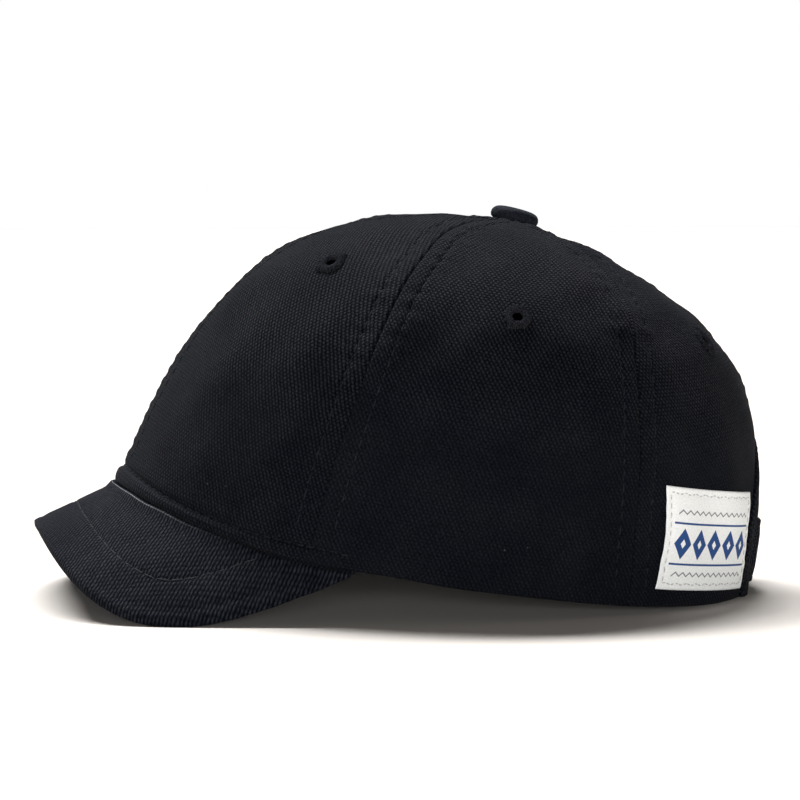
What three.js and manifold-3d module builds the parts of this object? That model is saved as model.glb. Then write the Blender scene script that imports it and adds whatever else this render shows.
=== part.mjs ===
import * as THREE from 'three';
import { mergeVertices } from 'three/addons/utils/BufferGeometryUtils.js';
import Module from 'manifold-3d';

const wasm = await Module();
wasm.setup();

// A six-panel cloth cap with a short curved brim. Millimetres, +Z up, the front looks along -Y
// and the wearer's left is +X. Angles go round the crown from the front (0) over the left (90).

// Rim of the crown
const backAngle = 180;
const rimHalfLength = 102;
const rimHalfWidth = 81;
const rimArch = 12;
const rimArchAngle = 75;
const rimBackLift = 4.5;
const rimBackAngle = 110;

// Crown
const crownHeight = 111;
const apexSetback = 11.5;
const wall = 1.6;
const gap = 0.3;
const frontSeamAngle = 62.5;
const backSeamAngle = 117.5;
const weltHeight = 4.2;
const weltProud = 1.3;
const weltFullAngle = 58;
const weltEndAngle = 70;

// Eyelets
const eyeletRadius = 4.8;
const eyeletHole = 1.2;
const eyeletBarrel = 2.5;
const eyeletProud = 1.0;

// Button
const buttonRadius = 7.6;
const buttonHeight = 4.6;
const buttonStem = 2.6;
const stemHole = buttonStem + 2 * gap;

// Brim
const brimEndAngle = 70;
const brimLength = 28.5;
const brimThickness = 3.4;
const brimDropFront = 32;
const brimDropSide = 25.5;

// Opening at the back and its hem
const archHalfWidth = 29.5;
const archHeight = 42.5;
const archHemWidth = 7;
const archHemThickness = 1.1;
const archHemAngle = 40;

// Strap and its slide
const strapHeight = 20;
const strapLift = 3;
const strapThickness = 1.8;
const strapBulge = 1.0;
const strapEndAngle = 34;
const slideWidth = 8;
const slideWire = 1.4;
const slideAngle = -9;

// Label
const labelStartAngle = 123;
const labelEndAngle = 152.2;
const labelHeight = 32;
const labelLift = 2.8;
const labelSlope = 2;
const labelThickness = 0.8;

// How far cloth is pressed flat where the cap stands
const press = 0.5;

// Meridians at the front, side and back: shares of the radius (lean, shoulder) and height (rise, crest)
const meridians = [
  { lean: -0.17, rise: 0.64, shoulder: 0.655, crest: -0.018 },
  { lean: 0.045, rise: 0.53, shoulder: 0.865, crest: -0.068 },
  { lean: -0.02, rise: 0.655, shoulder: 0.85, crest: -0.178 },
];
// Welt rolls out over the hem: share of its height and of its proud size
const weltRows = [
  { up: 0, out: 0.55 }, { up: 0.35, out: 1 }, { up: 0.75, out: 0.8 }, { up: 1.1, out: 0 },
];
// Rounded edge of the brim: inset and half thickness, as shares of half its thickness
const brimEdge = [{ inset: 0, half: 0.3 }, { inset: 0.4, half: 0.8 }, { inset: 1.1, half: 1 }];
// Plan of the brim's outer edge: powers of a superellipse
const brimPlan = { side: 2.05, front: 4.6 };

const panels = [
  { place: 'front', from: 0, to: frontSeamAngle, eyeletAngle: 38, eyeletUp: 0.58 },
  { place: 'side', from: frontSeamAngle, to: backSeamAngle, eyeletAngle: 90.5, eyeletUp: 0.562 },
  { place: 'back', from: backSeamAngle, to: backAngle, eyeletAngle: 148, eyeletUp: 0.553 },
];
const halves = [{ hand: 'left', sign: 1 }, { hand: 'right', sign: -1 }];

const cloth = { color: 0x17181b, roughness: 0.95, metalness: 0 };
const thread = { color: 0x1d1e22, roughness: 0.85, metalness: 0 };
const woven = { color: 0xe9e8e3, roughness: 0.9, metalness: 0 };
const metal = { color: 0x3a3a3d, roughness: 0.45, metalness: 0.9 };

const rad = THREE.MathUtils.degToRad;
const { lerp, smoothstep } = THREE.MathUtils;
const vec = (x, y, z) => new THREE.Vector3(x, y, z);

// Crown surface
function rimPoint(angle) {
  const c = Math.cos(rad(angle));
  const fromFront = Math.acos(THREE.MathUtils.clamp(c, -1, 1));
  const arch = 0.5 + 0.5 * Math.cos(Math.PI * Math.min(fromFront / rad(rimArchAngle), 1));
  const back = smoothstep(fromFront, rad(rimBackAngle), Math.PI);
  const x = rimHalfWidth * Math.sin(rad(angle));
  return vec(x, -rimHalfLength * c, rimArch * arch + rimBackLift * back);
}

function meridian(angle, key) {
  const c = Math.cos(rad(angle));
  return lerp(meridians[1][key], meridians[c > 0 ? 0 : 2][key], c * c);
}

function crownPoint(angle, up) {
  const rim = rimPoint(angle);
  const down = 1 - up;
  const [b0, b1, b2, b3] = [down ** 3, 3 * down * down * up, 3 * down * up * up, up ** 3];
  const radius = b0 + b1 * (1 + meridian(angle, 'lean')) + b2 * meridian(angle, 'shoulder');
  const rise = b1 * meridian(angle, 'rise') + b2 * (1 + meridian(angle, 'crest')) + b3;
  return vec(
    radius * rim.x,
    apexSetback + radius * (rim.y - apexSetback),
    (b0 + b1) * rim.z + rise * crownHeight,
  );
}

function crownNormal(angle, up) {
  const step = 0.01;
  const along = crownPoint(angle + 1, up).sub(crownPoint(angle - 1, up));
  const climb = crownPoint(angle, up + step).sub(crownPoint(angle, Math.max(up - step, 0)));
  const normal = along.cross(climb).normalize();
  return up > 0 ? normal : normal.setZ(0).normalize();
}

function offCrown(angle, up, out) {
  return crownPoint(angle, up).addScaledVector(crownNormal(angle, up), out);
}

// Solves a rising function for a value between two bounds
function solve(rising, value, low, high) {
  for (let turn = 0; turn < 40; turn += 1) {
    const middle = (low + high) / 2;
    if (rising(middle) < value) low = middle;
    else high = middle;
  }
  return (low + high) / 2;
}

function upAtHeight(angle, height) {
  return solve((up) => crownPoint(angle, up).z - rimPoint(angle).z, height, 0, 0.8);
}

function upAtRadius(angle, radius) {
  const reach = (up) => -Math.hypot(crownPoint(angle, up).x, crownPoint(angle, up).y - apexSetback);
  return solve(reach, -radius, 0.5, 1);
}

// Brim surface: ruled forward and down from the rim
const brimHalfWidth = rimHalfWidth * Math.sin(rad(brimEndAngle));
const brimEndY = -rimHalfLength * Math.cos(rad(brimEndAngle));
const brimFrontY = -(rimHalfLength + brimLength * Math.cos(rad(brimDropFront)));

function brimHeight(x, y) {
  const rim = rimPoint(THREE.MathUtils.radToDeg(Math.asin(THREE.MathUtils.clamp(x / rimHalfWidth, -1, 1))));
  const drop = lerp(brimDropFront, brimDropSide, (x / brimHalfWidth) ** 2);
  return rim.z - gap - Math.max(rim.y - y, 0) * Math.tan(rad(drop));
}

function brimOuter(share) {
  const turn = (Math.PI / 2) * (1 - (1 - Math.abs(share)) ** 2);
  const x = Math.sign(share) * brimHalfWidth * Math.sin(turn) ** (2 / brimPlan.side);
  return vec(x, lerp(brimEndY, brimFrontY, Math.cos(turn) ** (2 / brimPlan.front)), 0);
}

function brimTop(share, out) {
  const inner = rimPoint(share * brimEndAngle);
  const point = inner.clone().lerp(brimOuter(share), Math.max(out, 0));
  if (out < 0) point.multiplyScalar(1 + (out * wall) / Math.hypot(inner.x, inner.y));
  return point.setZ(out > 0 ? brimHeight(point.x, point.y) : inner.z - gap);
}

function brimNormal(share, out) {
  const { x, y } = brimTop(share, Math.max(out, 0.02));
  const step = 0.5;
  const slopeX = (brimHeight(x + step, y) - brimHeight(x - step, y)) / (2 * step);
  const slopeY = (brimHeight(x, y) - brimHeight(x, y - step)) / step;
  const full = vec(-slopeX, -slopeY, 1).normalize();
  return vec(0, 0, 1).lerp(full, smoothstep(out, 0, 0.4)).normalize();
}

const brimGrid = { columns: 30, span: 0.98, inner: [0.75, 0.5, 0.25, 0.1, 0, -1] };

function brimPoint(row, column, side) {
  const share = brimGrid.span * ((2 * column) / brimGrid.columns - 1);
  const taper = 1 - 0.75 * Math.abs(share) ** 12;
  const half = (brimThickness / 2) * taper;
  const width = rimPoint(share * brimEndAngle).distanceTo(brimTop(share, 1));
  const edge = brimEdge[row];
  const outs = edge ? 1 - Math.min((edge.inset * half) / width, 0.2) : brimGrid.inner[row - brimEdge.length];
  const depth = half * (1 - side * (edge ? edge.half : 1));
  return brimTop(share, outs).addScaledVector(brimNormal(share, outs), -depth);
}

// Rest: the tilt at which the brim and the back of the rim touch the ground together
function lowest(points, tilt) {
  return Math.min(...points.map((p) => p.z * Math.cos(tilt) - p.y * Math.sin(tilt)));
}

const brimRows = brimEdge.length + brimGrid.inner.length - 1;
const brimUnderside = [];
for (let column = 0; column <= brimGrid.columns; column += 1) {
  for (let row = 0; row < brimEdge.length; row += 1) brimUnderside.push(brimPoint(row, column, -1));
}
const backRim = Array.from({ length: 25 }, (_, i) => rimPoint(120 + i * 2.5));
const tilt = solve((a) => lowest(brimUnderside, a) - lowest(backRim, a), 0, -0.5, 0.9);
const ground = lowest(backRim, tilt) + press;

function settle(point) {
  const floor = (ground + point.y * Math.sin(tilt)) / Math.cos(tilt);
  return point.setZ(Math.max(point.z, floor));
}

// Closed body between two matching grids of points
function slab(rows, columns, outer, inner) {
  const positions = [];
  const index = [];
  const wide = columns + 1;
  const count = (rows + 1) * wide;
  for (const face of [outer, inner]) {
    for (let row = 0; row <= rows; row += 1) {
      for (let column = 0; column <= columns; column += 1) {
        positions.push(...settle(face(row, column)).toArray());
      }
    }
  }
  for (let row = 0; row < rows; row += 1) {
    for (let column = 0; column < columns; column += 1) {
      const a = row * wide + column;
      const [b, c, d] = [a + 1, a + wide + 1, a + wide];
      index.push(a, b, c, a, c, d);
      index.push(a + count, c + count, b + count, a + count, d + count, c + count);
    }
  }
  const loop = [];
  for (let column = 0; column < columns; column += 1) loop.push(column);
  for (let row = 0; row < rows; row += 1) loop.push(row * wide + columns);
  for (let column = columns; column > 0; column -= 1) loop.push(rows * wide + column);
  for (let row = rows; row > 0; row -= 1) loop.push(row * wide);
  loop.forEach((a, i) => {
    const b = loop[(i + 1) % loop.length];
    index.push(b, a, a + count, b, a + count, b + count);
  });
  const geometry = new THREE.BufferGeometry();
  geometry.setAttribute('position', new THREE.Float32BufferAttribute(positions, 3));
  return geometry.setIndex(index);
}

// Piece of cloth that lies on the crown between two angles, from one height to another
function onCrown({ from, to, columns, rows, up, low, high }) {
  const angleAt = (column) => lerp(from, to, column / columns);
  const face = (out) => (row, column) => {
    const angle = angleAt(column);
    return offCrown(angle, up(angle, row / rows), out(angle));
  };
  return slab(rows, columns, face(high), face(low));
}

// Joining and cutting
function solidOf(geometry) {
  const bare = geometry.clone();
  for (const name of ['normal', 'uv']) bare.deleteAttribute(name);
  const merged = mergeVertices(bare, 1e-4);
  return new wasm.Manifold(new wasm.Mesh({
    numProp: 3,
    vertProperties: new Float32Array(merged.attributes.position.array),
    triVerts: new Uint32Array(merged.index.array),
  }));
}

function geometryOf(solid) {
  const mesh = solid.getMesh();
  const geometry = new THREE.BufferGeometry();
  geometry.setAttribute('position', new THREE.BufferAttribute(mesh.vertProperties, 3));
  return geometry.setIndex(new THREE.BufferAttribute(mesh.triVerts, 1));
}

const cap = new THREE.Group();
const crown = new THREE.Group();
crown.rotation.x = -tilt;
crown.position.z = -ground;
cap.add(crown);

function piece(name, geometry, look) {
  const mesh = new THREE.Mesh(geometry, new THREE.MeshStandardMaterial(look));
  mesh.name = name;
  crown.add(mesh);
  return mesh;
}

// Outline of the opening at the back, pushed through the crown from behind
function archCutter(halfWidth, height) {
  const base = rimPoint(backAngle).z;
  const outline = new THREE.Shape();
  outline.moveTo(-halfWidth, -crownHeight);
  outline.lineTo(halfWidth, -crownHeight);
  outline.lineTo(halfWidth, base);
  outline.absellipse(0, base, halfWidth, height, 0, Math.PI, false);
  outline.closePath();
  const cutter = new THREE.ExtrudeGeometry(outline, {
    depth: rimHalfLength, bevelEnabled: false, curveSegments: 18,
  });
  cutter.rotateX(Math.PI / 2);
  return solidOf(cutter.translate(0, rimHalfLength * 1.4, 0));
}

// Crown panels
function weltOut(angle, height) {
  const fade = 1 - smoothstep(Math.abs(angle), weltFullAngle, weltEndAngle);
  const row = weltRows.find((r) => r.up === height);
  return row ? weltProud * row.out * fade : 0;
}

function panelGeometry({ from, to }, sign) {
  const columns = 10;
  const body = 15;
  const rows = weltRows.length - 1 + body;
  const upAt = (angle, row) => {
    const weltTop = upAtHeight(angle, weltHeight * weltRows.at(-1).up);
    if (row < weltRows.length) return upAtHeight(angle, weltHeight * weltRows[row].up);
    const share = (row - weltRows.length + 1) / body;
    return lerp(weltTop, upAtRadius(angle, stemHole), share);
  };
  const place = (row, column) => {
    const plain = lerp(sign > 0 ? from : -to, sign > 0 ? to : -from, column / columns);
    const up = row === 0 ? 0 : upAt(plain, row);
    const reach = crownPoint(plain, up).setZ(0).distanceTo(vec(0, apexSetback, 0));
    const inset = THREE.MathUtils.radToDeg(gap / 2 / reach);
    const angle = plain + inset * ((column === 0) - (column === columns));
    return { angle, up };
  };
  const face = (out) => (row, column) => {
    const { angle, up } = place(row, column);
    const roll = row < weltRows.length ? weltOut(angle, weltRows[row].up) : 0;
    return offCrown(angle, up, out(roll));
  };
  return slab(rows, columns, face((roll) => roll), face(() => -wall));
}

function crownFrame(angle, up) {
  const axis = crownNormal(angle, up);
  return { at: crownPoint(angle, up), turn: new THREE.Quaternion().setFromUnitVectors(vec(0, 1, 0), axis) };
}

function eyeletHoleCutter({ eyeletAngle, eyeletUp }, sign) {
  const { at, turn } = crownFrame(sign * eyeletAngle, eyeletUp);
  const cutter = new THREE.CylinderGeometry(eyeletBarrel + gap, eyeletBarrel + gap, 8 * wall, 16);
  cutter.applyQuaternion(turn);
  return solidOf(cutter.translate(at.x, at.y, at.z));
}

const opening = archCutter(archHalfWidth, archHeight);
for (const panel of panels) {
  for (const { hand, sign } of halves) {
    let solid = solidOf(panelGeometry(panel, sign)).subtract(eyeletHoleCutter(panel, sign));
    if (panel.place === 'back') solid = solid.subtract(opening);
    piece(`crown_panel_${panel.place}_${hand}`, geometryOf(solid), cloth);
  }
}

// Sewn eyelets
const eyeletProfile = [
  [eyeletHole, -wall], [eyeletBarrel, -wall], [eyeletBarrel, gap], [eyeletRadius, gap],
  [eyeletRadius, gap + 0.4 * eyeletProud], [lerp(eyeletHole, eyeletRadius, 0.6), gap + eyeletProud],
  [lerp(eyeletHole, eyeletRadius, 0.25), gap + 0.9 * eyeletProud],
  [eyeletHole, gap + 0.4 * eyeletProud], [eyeletHole, -wall],
].map(([r, y]) => new THREE.Vector2(r, y));
for (const { place, eyeletAngle, eyeletUp } of panels) {
  for (const { hand, sign } of halves) {
    const { at, turn } = crownFrame(sign * eyeletAngle, eyeletUp);
    const eyelet = piece(`eyelet_${place}_${hand}`, new THREE.LatheGeometry(eyeletProfile, 16), thread);
    eyelet.position.copy(at);
    eyelet.quaternion.copy(turn);
  }
}

// Button: it leans as the top of the crown does and hugs it
function buttonMesh() {
  const apex = vec(0, apexSetback, crownHeight);
  const ringAt = (angle) => crownPoint(angle, upAtRadius(angle, buttonRadius));
  const across = ringAt(90).sub(ringAt(-90));
  const along = ringAt(180).sub(ringAt(0));
  const axis = across.cross(along).normalize();
  const seat = (radius) => {
    const heights = Array.from({ length: 24 }, (_, i) => {
      const point = crownPoint(i * 15, upAtRadius(i * 15, radius));
      return point.sub(apex).dot(axis);
    });
    return Math.max(...heights) + gap;
  };
  const low = seat(stemHole);
  const edge = seat(buttonRadius * 0.92);
  const under = [0.5, 0.7, 0.92].map((share) => [buttonRadius * share, seat(buttonRadius * share)]);
  const profile = [
    [0, low - wall - 1], [buttonStem, low - wall - 1], [buttonStem, low], ...under,
    [buttonRadius, edge + 0.22 * buttonHeight], [buttonRadius, edge + 0.45 * buttonHeight],
    [buttonRadius * 0.93, edge + 0.68 * buttonHeight], [buttonRadius * 0.78, edge + 0.86 * buttonHeight],
    [buttonRadius * 0.5, edge + 0.97 * buttonHeight], [0, edge + buttonHeight],
  ].map(([r, y]) => new THREE.Vector2(r, y));
  const button = piece('top_button', new THREE.LatheGeometry(profile, 24), cloth);
  button.position.copy(apex);
  button.quaternion.setFromUnitVectors(vec(0, 1, 0), axis);
}
buttonMesh();

// Brim
piece('brim', slab(
  brimRows, brimGrid.columns,
  (row, column) => brimPoint(row, column, 1), (row, column) => brimPoint(row, column, -1),
), cloth);

// Raised hem round the opening at the back
const hemBand = onCrown({
  from: backAngle - archHemAngle, to: backAngle + archHemAngle, columns: 32, rows: 12,
  up: (angle, share) => share * upAtHeight(backAngle, archHeight + 3 * archHemWidth),
  low: () => gap, high: () => gap + archHemThickness,
});
const hemShape = archCutter(archHalfWidth + archHemWidth, archHeight + archHemWidth).subtract(opening);
piece('opening_hem', geometryOf(solidOf(hemBand).intersect(hemShape)), cloth);

// Strap: sewn inside both ends, bowed out between the edges of the opening
const degreesAcross = (x) => THREE.MathUtils.radToDeg(Math.asin(x / rimHalfWidth));
const strapTop = strapLift + strapHeight;
const strapTuck = degreesAcross(archHalfWidth * Math.sqrt(1 - (strapTop / archHeight) ** 2));
const strapHidden = -(wall + 2 * gap + strapThickness);
const strapOut = (angle) => {
  const tucked = smoothstep(Math.abs(angle - backAngle), 0.62 * strapTuck, strapTuck);
  return lerp(strapBulge, strapHidden, tucked);
};

function strapShell({ from, to, columns, grow, low, high }) {
  return onCrown({
    from, to, columns, rows: 6,
    up: (angle, share) => upAtHeight(angle, lerp(strapLift - grow, strapTop + grow, share)),
    low: (angle) => strapOut(angle) + low, high: (angle) => strapOut(angle) + strapThickness + high,
  });
}
piece('back_strap', strapShell({
  from: backAngle - strapEndAngle, to: backAngle + strapEndAngle, columns: 28, grow: 0, low: 0, high: 0,
}), cloth);

// Slide round the strap
function slideBlock(width, clearance) {
  const half = degreesAcross(width / 2);
  const middle = backAngle - slideAngle;
  return solidOf(strapShell({
    from: middle - half, to: middle + half, columns: 6, grow: clearance, low: -clearance, high: clearance,
  }));
}
piece('strap_slide', geometryOf(
  slideBlock(slideWidth, gap + slideWire).subtract(slideBlock(slideWidth * 1.5, gap)),
), metal);

// Label
piece('side_label', onCrown({
  from: labelStartAngle, to: labelEndAngle, columns: 14, rows: 8,
  up: (angle, share) => {
    const slope = lerp(labelSlope, 0, (angle - labelStartAngle) / (labelEndAngle - labelStartAngle));
    return upAtHeight(angle, labelLift + slope + share * labelHeight);
  },
  low: () => gap, high: () => gap + labelThickness,
}), woven);

// Origin at the middle of the footprint
cap.updateMatrixWorld(true);
crown.position.y = -new THREE.Box3().setFromObject(cap, true).getCenter(vec(0, 0, 0)).y;

export default cap;
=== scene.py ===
import math
from functools import partial

import bpy
import numpy as np
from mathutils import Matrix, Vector


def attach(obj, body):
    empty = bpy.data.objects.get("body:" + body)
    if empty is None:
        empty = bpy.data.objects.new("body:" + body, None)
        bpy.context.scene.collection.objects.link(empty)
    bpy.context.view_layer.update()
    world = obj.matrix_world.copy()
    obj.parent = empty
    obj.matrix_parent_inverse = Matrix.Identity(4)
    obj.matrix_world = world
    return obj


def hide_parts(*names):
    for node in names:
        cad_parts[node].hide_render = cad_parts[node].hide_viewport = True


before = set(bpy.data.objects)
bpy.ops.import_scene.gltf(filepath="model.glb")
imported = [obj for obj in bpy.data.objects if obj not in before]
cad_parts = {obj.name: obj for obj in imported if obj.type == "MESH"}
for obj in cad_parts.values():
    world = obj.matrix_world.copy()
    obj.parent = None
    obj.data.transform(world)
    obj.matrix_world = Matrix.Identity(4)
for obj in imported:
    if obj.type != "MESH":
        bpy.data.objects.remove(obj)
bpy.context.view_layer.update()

# A six-panel cloth cap with a short curved brim, dressed over its CAD model.
# Shapes are worked out in millimetres in the crown's own frame (rim level, front along -Y),
# then laid over into the resting pose in metres. Angles go round from the front (0) over the left (90).
MM = 0.001

# Rim of the crown
RIM_HALF_LENGTH = 102
RIM_HALF_WIDTH = 81
RIM_ARCH = 12
RIM_ARCH_ANGLE = 75
RIM_BACK_LIFT = 4.5
RIM_BACK_ANGLE = 110

# Crown
CROWN_HEIGHT = 111
APEX_SETBACK = 11.5
WALL = 1.6
STEM_HOLE = 3.2
MERIDIANS = {
    "front": {"lean": -0.17, "rise": 0.64, "shoulder": 0.655, "crest": -0.018},
    "side": {"lean": 0.045, "rise": 0.53, "shoulder": 0.865, "crest": -0.068},
    "back": {"lean": -0.02, "rise": 0.655, "shoulder": 0.85, "crest": -0.178},
}
WELT_PROUD = 1.3
WELT_FADE = (58, 70)
EYELETS = {"front": (38.6, 0.575), "side": (90.5, 0.558), "back": (147.8, 0.55)}
EYELET_RADIUS = 4.15
EYELET_HOLE = 1.5

# Angles of the seams at shares of the height
SEAMS = {
    "fore": [(0, 60.1), (0.1, 61.2), (0.2, 62.3), (0.5, 63.5), (0.7, 61.8), (0.85, 57), (1, 53)],
    "rear": [(0, 117.4), (0.13, 116.7), (0.27, 116.6), (0.52, 118), (0.68, 121.5), (0.85, 127), (1, 131)],
}

# Brim
BRIM_END_ANGLE = 70
BRIM_LENGTH = 28.5
BRIM_THICKNESS = 3.4
BRIM_DROP_FRONT = 32
BRIM_DROP_SIDE = 25.5
BRIM_PLAN_SIDE = 2.05
BRIM_PLAN_FRONT = 4.6
BRIM_SPAN = 0.98

# Opening at the back, strap and label
ARCH_HALF_WIDTH = 29.5
ARCH_HEIGHT = 42.5
STRAP_HEIGHT = 20
STRAP_LIFT = 3
STRAP_THICKNESS = 1.8
STRAP_BULGE = 1.0
STRAP_END_ANGLE = 34
SLIDE_ANGLE = 189
LABEL_START = 123
LABEL_END = 152.2
LABEL_HEIGHT = 32

# Resting pose
TILT = math.radians(8.0473)
SHIFT_Y = 8.6013
SHIFT_Z = 9.3629

STITCH_PITCH = 4.2
STITCH_LENGTH = 3.1
SEAM_STITCH_OFFSET = 5.75
FINE_ROW = {"pitch": 3.6, "length": 2.6, "thick": 0.32}

# Relief of the sewn cloth. Pairs of heights or distances are where it starts and ends fading.
SEAM_BAND = (5.9, 8.2)
SEAM_REACH = 16
ROW_SUNK = 0.55
ROW_SUNK_MORE = 0.3
ROW_SUNK_MORE_FROM = (68, 100)
WELT_LINE = ([0, 12, 22, 34, 46, 56, 64, 70], [6.2, 5.3, 4.3, 3.7, 3.9, 4.7, 5.3, 4.6])
HEM_TOP = (11, 13.5)
BRIM_END_DIMPLE = {"angle": 67.6, "height": 4.4, "size": 2.4, "depth": 0.7}
EYELET_DIMPLE = {"size": 5.2, "depth": 0.35}
PANEL_LENGTH = 150
BUTTON_DIMPLE = (5.4, 8.6)
RIM_LIFT = {"angle": 73, "spread": 8, "height": 1.0}
FULL_TURN = 6.283

# Soft folds where the empty crown slumps: angle, height, half sizes, depth
SOFT_FOLDS = [
    (86, 47, 26, 6, -0.9), (80, 60, 22, 6, 0.5), (100, 28, 20, 7, 0.5), (45, 40, 16, 9, -0.6),
    (30, 70, 20, 9, 0.45), (74, 16, 10, 6, -0.5), (135, 62, 16, 8, -0.6), (160, 76, 14, 8, 0.4),
    (170, 56, 26, 15, 1.0), (168, 128, 20, 9, 1.5),
]


# crown surface
def smooth_step(value, low, high):
    share = np.clip((np.asarray(value, float) - low) / (high - low), 0, 1)
    return share * share * (3 - 2 * share)


def rim_point(angle):
    turn = np.radians(angle)
    from_front = np.degrees(np.arccos(np.clip(np.cos(turn), -1, 1)))
    arch = 0.5 + 0.5 * np.cos(np.pi * np.minimum(from_front / RIM_ARCH_ANGLE, 1))
    back = smooth_step(from_front, RIM_BACK_ANGLE, 180)
    height = RIM_ARCH * arch + RIM_BACK_LIFT * back
    return np.stack([RIM_HALF_WIDTH * np.sin(turn), -RIM_HALF_LENGTH * np.cos(turn), height], -1)


def meridian(angle, key):
    c = np.cos(np.radians(angle))
    side = MERIDIANS["side"][key]
    end = np.where(c > 0, MERIDIANS["front"][key], MERIDIANS["back"][key])
    return side + (end - side) * c * c


def crown_point(angle, up):
    angle, up = np.broadcast_arrays(np.asarray(angle, float), np.asarray(up, float))
    rim = rim_point(angle)
    down = 1 - up
    b0, b1, b2, b3 = down**3, 3 * down * down * up, 3 * down * up * up, up**3
    radius = b0 + b1 * (1 + meridian(angle, "lean")) + b2 * meridian(angle, "shoulder")
    rise = b1 * meridian(angle, "rise") + b2 * (1 + meridian(angle, "crest")) + b3
    y = APEX_SETBACK + radius * (rim[..., 1] - APEX_SETBACK)
    z = (b0 + b1) * rim[..., 2] + rise * CROWN_HEIGHT
    return np.stack([radius * rim[..., 0], y, z], -1)


def unit(vectors):
    return vectors / np.maximum(np.linalg.norm(vectors, axis=-1, keepdims=True), 1e-12)


def crown_frame(angle, up):
    """Direction round the crown, direction up it and outward normal."""
    around = unit(crown_point(angle + 0.5, up) - crown_point(angle - 0.5, up))
    climb = unit(crown_point(angle, up + 0.004) - crown_point(angle, np.maximum(up - 0.004, 0)))
    normal = np.cross(around, climb)
    normal[..., 2] *= smooth_step(up, -0.001, 0.02)
    return around, climb, unit(normal)


def mm_per_degree(angle, up):
    return np.linalg.norm(crown_point(angle + 0.5, up) - crown_point(angle - 0.5, up), axis=-1)


def seam_angle(seam, up):
    if seam == "centre":
        return 0 * up
    if seam == "back":
        return 180 + 0 * up
    shares, angles = np.array(SEAMS[seam], float).T
    slopes = np.gradient(angles, shares)
    last = np.clip(np.searchsorted(shares, up) - 1, 0, len(shares) - 2)
    length = shares[last + 1] - shares[last]
    t = np.clip((up - shares[last]) / length, 0, 1)
    a, b = angles[last], angles[last + 1]
    start, end = slopes[last] * length, slopes[last + 1] * length
    return a + t * (start + t * (3 * (b - a) - 2 * start - end + t * (2 * (a - b) + start + end)))


def height_on(angle, up):
    """Length of cloth from the rim up to a point."""
    steps = np.linspace(0, 1, 9)
    shape = np.shape(up)
    ups = np.multiply.outer(np.asarray(up, float), steps)
    angles = np.broadcast_to(np.asarray(angle, float)[..., None], shape + (9,))
    points = crown_point(angles, ups)
    return np.linalg.norm(np.diff(points, axis=-2), axis=-1).sum(-1)


def last_up(holds, low, high):
    """Share up the crown at which a test stops holding."""
    for _ in range(30):
        middle = (low + high) / 2
        held = holds(middle)
        low, high = np.where(held, middle, low), np.where(held, high, middle)
    return (low + high) / 2


def up_at_height(angle, height):
    """Share at which the crown stands so high above its rim."""
    def below(up):
        return crown_point(angle, up)[..., 2] - rim_point(angle)[..., 2] < height

    return last_up(below, np.zeros(np.shape(angle)), np.full(np.shape(angle), 0.8))


def up_at_radius(angle, radius):
    """Share at which the crown has closed in to such a distance from its axis."""
    def wider(up):
        point = crown_point(angle, up)
        return np.hypot(point[..., 0], point[..., 1] - APEX_SETBACK) > radius

    return last_up(wider, np.full(np.shape(angle), 0.5), np.ones(np.shape(angle)))


def find_on_back(x, z):
    """Angle and share of the point of the crown's back at x and z."""
    angle = 180 - np.degrees(np.arcsin(np.clip(x / RIM_HALF_WIDTH, -0.95, 0.95)))
    up = np.clip((z - RIM_BACK_LIFT) / 190, 0, 0.9)
    for _ in range(14):
        here = crown_point(angle, up)
        turned = (crown_point(angle + 0.1, up) - here) / 0.1
        lifted = (crown_point(angle, up + 0.001) - here) / 0.001
        dx, dz = x - here[..., 0], z - here[..., 2]
        det = turned[..., 0] * lifted[..., 2] - turned[..., 2] * lifted[..., 0]
        angle = angle + np.clip((dx * lifted[..., 2] - dz * lifted[..., 0]) / det, -8, 8)
        up = np.clip(up + (dz * turned[..., 0] - dx * turned[..., 2]) / det, 0, 0.97)
    return angle, up


def to_rest(points):
    """From the crown's frame in millimetres to the resting pose in metres, pressed flat on the floor."""
    c, s = math.cos(TILT), math.sin(TILT)
    x, y, z = points[..., 0], points[..., 1], points[..., 2]
    laid = np.stack([x, y * c + z * s + SHIFT_Y, z * c - y * s + SHIFT_Z], -1)
    laid[..., 2] = np.maximum(laid[..., 2], 0)
    return laid * MM


def run_along(points):
    """Length along a line of points, from its first to each."""
    return np.concatenate([[0], np.cumsum(np.linalg.norm(np.diff(points, axis=0), axis=1))])


# relief of the sewn cloth
_chance = np.random.default_rng(41)
RIPPLES = [
    (_chance.normal(size=3), _chance.uniform(0, FULL_TURN), wavelength)
    for wavelength in (46, 38, 33, 27, 24, 21, 18, 15, 13, 11)
]


def ripple(points, finest, coarsest=60):
    """Soft seeded unevenness, about -1 to 1, from waves of the given lengths in millimetres."""
    total, count = 0, 0
    for direction, phase, wavelength in RIPPLES:
        if finest <= wavelength <= coarsest:
            along = points @ (direction / np.linalg.norm(direction))
            total, count = total + np.sin(along * FULL_TURN / wavelength + phase), count + 1
    return total / math.sqrt(count)


def bump(distance, width):
    return np.exp(-((distance / width) ** 2))


def seam_relief(distance, along, reach, sunk):
    """Rolled edge at the ditch, raised seam allowance, sunk stitch row, puckers."""
    inner = 1 - (1 - np.clip(distance, 0, 1)) ** 2.2
    roll = -0.5 + 0.76 * inner
    band = roll * (1 - smooth_step(distance, *SEAM_BAND))
    row = bump(distance - SEAM_STITCH_OFFSET, 0.75)
    pull = 0.75 + 0.25 * np.cos(along * FULL_TURN / STITCH_PITCH)
    pucker = np.sin(along * FULL_TURN / 5.3 + 1.8 * np.sin(along / 9.7)) * 0.12
    pucker = pucker + np.sin(along * FULL_TURN / 9.1 + 2.2 * np.sin(along / 17.0) + 1) * 0.14
    pucker = pucker * smooth_step(distance, 0.8, 3) * bump(distance - 4.5, 4.2)
    return band - sunk * row * pull + pucker * reach


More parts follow.
